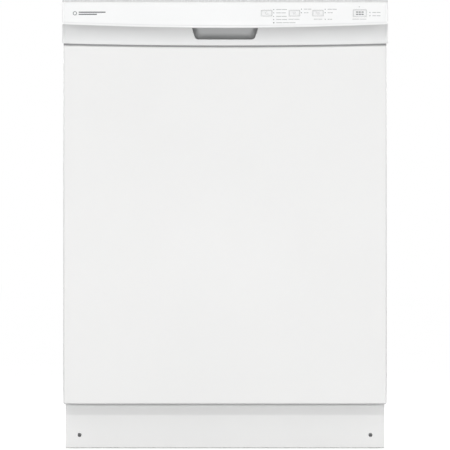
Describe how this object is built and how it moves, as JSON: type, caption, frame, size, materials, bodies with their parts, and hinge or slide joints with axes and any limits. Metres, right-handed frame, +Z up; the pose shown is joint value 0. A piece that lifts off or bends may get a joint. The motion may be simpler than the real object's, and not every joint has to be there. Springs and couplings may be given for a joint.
{
  "type": "built-in dishwasher",
  "caption": "White built-in dishwasher with a bowed pocket-handle console, drop-down door, sliding wire racks, spray arms, filter, pumps and levelling legs.",
  "frame": {"origin": "middle of the footprint, on the floor under the levelling legs", "axes": "+Z up, -Y the way the door faces, +X to the right as seen from the front"},
  "size_m": [0.606, 0.635, 0.836],
  "materials": {
    "white_enamel": "baked white enamel, satin gloss",
    "console_plastic": "white moulded plastic, fine satin",
    "button_plastic": "white moulded plastic with a thin grey outline",
    "tub_plastic": "light grey moulded polypropylene",
    "grey_plastic": "mid grey moulded plastic",
    "dark_plastic": "dark grey moulded plastic",
    "seal_rubber": "matt dark grey rubber",
    "hose_plastic": "grey corrugated hose",
    "blanket_felt": "pressed fibre felt",
    "zinc_steel": "galvanised sheet steel",
    "filter_steel": "perforated stainless sheet",
    "motor_steel": "grey painted steel can",
    "heater_steel": "heat-darkened steel tube",
    "spring_steel": "drawn spring wire",
    "screw_steel": "plated screw",
    "rack_coating": "blue-grey dipped nylon over wire"
  },
  "bodies": {
    "cabinet": {"kick_plate": "white_enamel", "tub": "tub_plastic", "latch_strike": "zinc_steel", "tub_gasket": "seal_rubber", "insulation_blanket": "blanket_felt", "sump": "dark_plastic", "filter_plate": "filter_steel", "heating_element": "heater_steel", "feed_tube": "grey_plastic", "circulation_pump": "motor_steel", "drain_pump": "dark_plastic", "drain_hose": "hose_plastic", "fill_hose": "seal_rubber", "inlet_valve": "dark_plastic", "junction_box": "zinc_steel", "front_crossmember": "zinc_steel", "rear_crossmember": "zinc_steel", "mounting_bracket_left": "zinc_steel", "side_rail_left": "zinc_steel", "door_spring_left": "spring_steel", "kick_screw_left": "screw_steel", "upper_rail_left": "zinc_steel", "mounting_bracket_right": "zinc_steel", "side_rail_right": "zinc_steel", "door_spring_right": "spring_steel", "kick_screw_right": "screw_steel", "upper_rail_right": "zinc_steel"},
    "door": {"console": "console_plastic", "handle_pocket": "console_plastic", "control_module": "dark_plastic", "latch_body": "dark_plastic", "door_panel": "white_enamel", "door_liner": "tub_plastic", "dispenser_body": "grey_plastic", "door_vent": "grey_plastic", "door_bottom_seal": "seal_rubber", "hinge_arm_left": "zinc_steel", "hinge_arm_right": "zinc_steel"},
    "cycles_button": {"cycles_button": "button_plastic"},
    "temp_button": {"temp_button": "button_plastic"},
    "dry_button": {"dry_button": "button_plastic"},
    "start_button": {"start_button": "button_plastic"},
    "latch_claw": {"latch_claw": "zinc_steel"},
    "dispenser_cover": {"dispenser_cover": "grey_plastic"},
    "rinse_aid_cap": {"rinse_aid_cap": "dark_plastic"},
    "upper_rack": {"upper_rack": "rack_coating"},
    "upper_spray_arm": {"upper_spray_arm": "grey_plastic"},
    "lower_rack": {"lower_rack": "rack_coating"},
    "silverware_basket": {"silverware_basket": "grey_plastic"},
    "lower_spray_arm": {"lower_spray_arm": "grey_plastic"},
    "filter_cup": {"filter_cup": "grey_plastic"},
    "overfill_float": {"overfill_float": "grey_plastic"},
    "wheel_front_left": {"wheel_front_left": "grey_plastic"},
    "wheel_front_right": {"wheel_front_right": "grey_plastic"},
    "wheel_rear_left": {"wheel_rear_left": "grey_plastic"},
    "wheel_rear_right": {"wheel_rear_right": "grey_plastic"},
    "levelling_leg_front_left": {"levelling_leg_front_left": "dark_plastic"},
    "levelling_leg_front_right": {"levelling_leg_front_right": "dark_plastic"},
    "levelling_leg_rear_left": {"levelling_leg_rear_left": "dark_plastic"},
    "levelling_leg_rear_right": {"levelling_leg_rear_right": "dark_plastic"}
  },
  "joints": [
    {"name": "door_hinge", "type": "hinge", "parent": "cabinet", "child": "door", "pos_m": [0, -0.262, 0.097], "axis": [1, 0, 0], "range_deg": [0, 90]},
    {"name": "latch_claw_pivot", "type": "hinge", "parent": "door", "child": "latch_claw", "pos_m": [0, -0.288, 0.829], "axis": [-1, 0, 0], "range_deg": [0, 4], "stiffness_Nm_per_rad": 0.2},
    {"name": "dispenser_cover_hinge", "type": "hinge", "parent": "door", "child": "dispenser_cover", "pos_m": [-0.047, -0.254, 0.342], "axis": [-1, 0, 0], "range_deg": [0, 100]},
    {"name": "rinse_aid_cap_twist", "type": "hinge", "parent": "door", "child": "rinse_aid_cap", "pos_m": [0.046, -0.2557, 0.384], "axis": [0, 1, 0], "range_deg": [0, 90]},
    {"name": "upper_rack_slide", "type": "slide", "parent": "cabinet", "child": "upper_rack", "axis": [0, -1, 0], "range_m": [0, 0.4]},
    {"name": "upper_spray_arm_spin", "type": "hinge", "parent": "upper_rack", "child": "upper_spray_arm", "pos_m": [0, 0.024, 0.45], "axis": [0, 0, 1], "continuous": true},
    {"name": "lower_rack_slide", "type": "slide", "parent": "cabinet", "child": "lower_rack", "axis": [0, -1, 0], "range_m": [0, 0.18]},
    {"name": "silverware_basket_lift", "type": "slide", "parent": "lower_rack", "child": "silverware_basket", "axis": [0, 0, 1], "range_m": [0, 0.12]},
    {"name": "lower_spray_arm_spin", "type": "hinge", "parent": "cabinet", "child": "lower_spray_arm", "pos_m": [0, 0.024, 0.136], "axis": [0, 0, 1], "continuous": true},
    {"name": "filter_cup_twist", "type": "hinge", "parent": "cabinet", "child": "filter_cup", "pos_m": [0.092, -0.04, 0.108], "axis": [0, 0, 1], "range_deg": [0, 60]},
    {"name": "overfill_float_lift", "type": "slide", "parent": "cabinet", "child": "overfill_float", "axis": [0, 0, 1], "range_m": [0, 0.008]},
    {"name": "cycles_button_press", "type": "slide", "parent": "door", "child": "cycles_button", "axis": [0, 1, 0], "range_m": [0, 0.0012], "stiffness_N_per_m": 800},
    {"name": "temp_button_press", "type": "slide", "parent": "door", "child": "temp_button", "axis": [0, 1, 0], "range_m": [0, 0.0012], "stiffness_N_per_m": 800},
    {"name": "dry_button_press", "type": "slide", "parent": "door", "child": "dry_button", "axis": [0, 1, 0], "range_m": [0, 0.0012], "stiffness_N_per_m": 800},
    {"name": "start_button_press", "type": "slide", "parent": "door", "child": "start_button", "axis": [0, 1, 0], "range_m": [0, 0.0012], "stiffness_N_per_m": 800},
    {"name": "wheel_front_left_roll", "type": "hinge", "parent": "lower_rack", "child": "wheel_front_left", "pos_m": [-0.242, -0.13, 0.1448], "axis": [1, 0, 0], "continuous": true},
    {"name": "levelling_leg_front_left_screw", "type": "slide", "parent": "cabinet", "child": "levelling_leg_front_left", "axis": [0, 0, -1], "range_m": [0, 0.03]},
    {"name": "wheel_front_right_roll", "type": "hinge", "parent": "lower_rack", "child": "wheel_front_right", "pos_m": [0.242, -0.13, 0.1448], "axis": [1, 0, 0], "continuous": true},
    {"name": "levelling_leg_front_right_screw", "type": "slide", "parent": "cabinet", "child": "levelling_leg_front_right", "axis": [0, 0, -1], "range_m": [0, 0.03]},
    {"name": "wheel_rear_left_roll", "type": "hinge", "parent": "lower_rack", "child": "wheel_rear_left", "pos_m": [-0.242, 0.18, 0.1448], "axis": [1, 0, 0], "continuous": true},
    {"name": "levelling_leg_rear_left_screw", "type": "slide", "parent": "cabinet", "child": "levelling_leg_rear_left", "axis": [0, 0, -1], "range_m": [0, 0.03]},
    {"name": "wheel_rear_right_roll", "type": "hinge", "parent": "lower_rack", "child": "wheel_rear_right", "pos_m": [0.242, 0.18, 0.1448], "axis": [1, 0, 0], "continuous": true},
    {"name": "levelling_leg_rear_right_screw", "type": "slide", "parent": "cabinet", "child": "levelling_leg_rear_right", "axis": [0, 0, -1], "range_m": [0, 0.03]}
  ],
  "couplings": [
    {"joint": "upper_rack_slide", "follows": "door_hinge", "m_per_rad": 0.2545},
    {"joint": "lower_rack_slide", "follows": "door_hinge", "m_per_rad": 0.114}
  ]
}
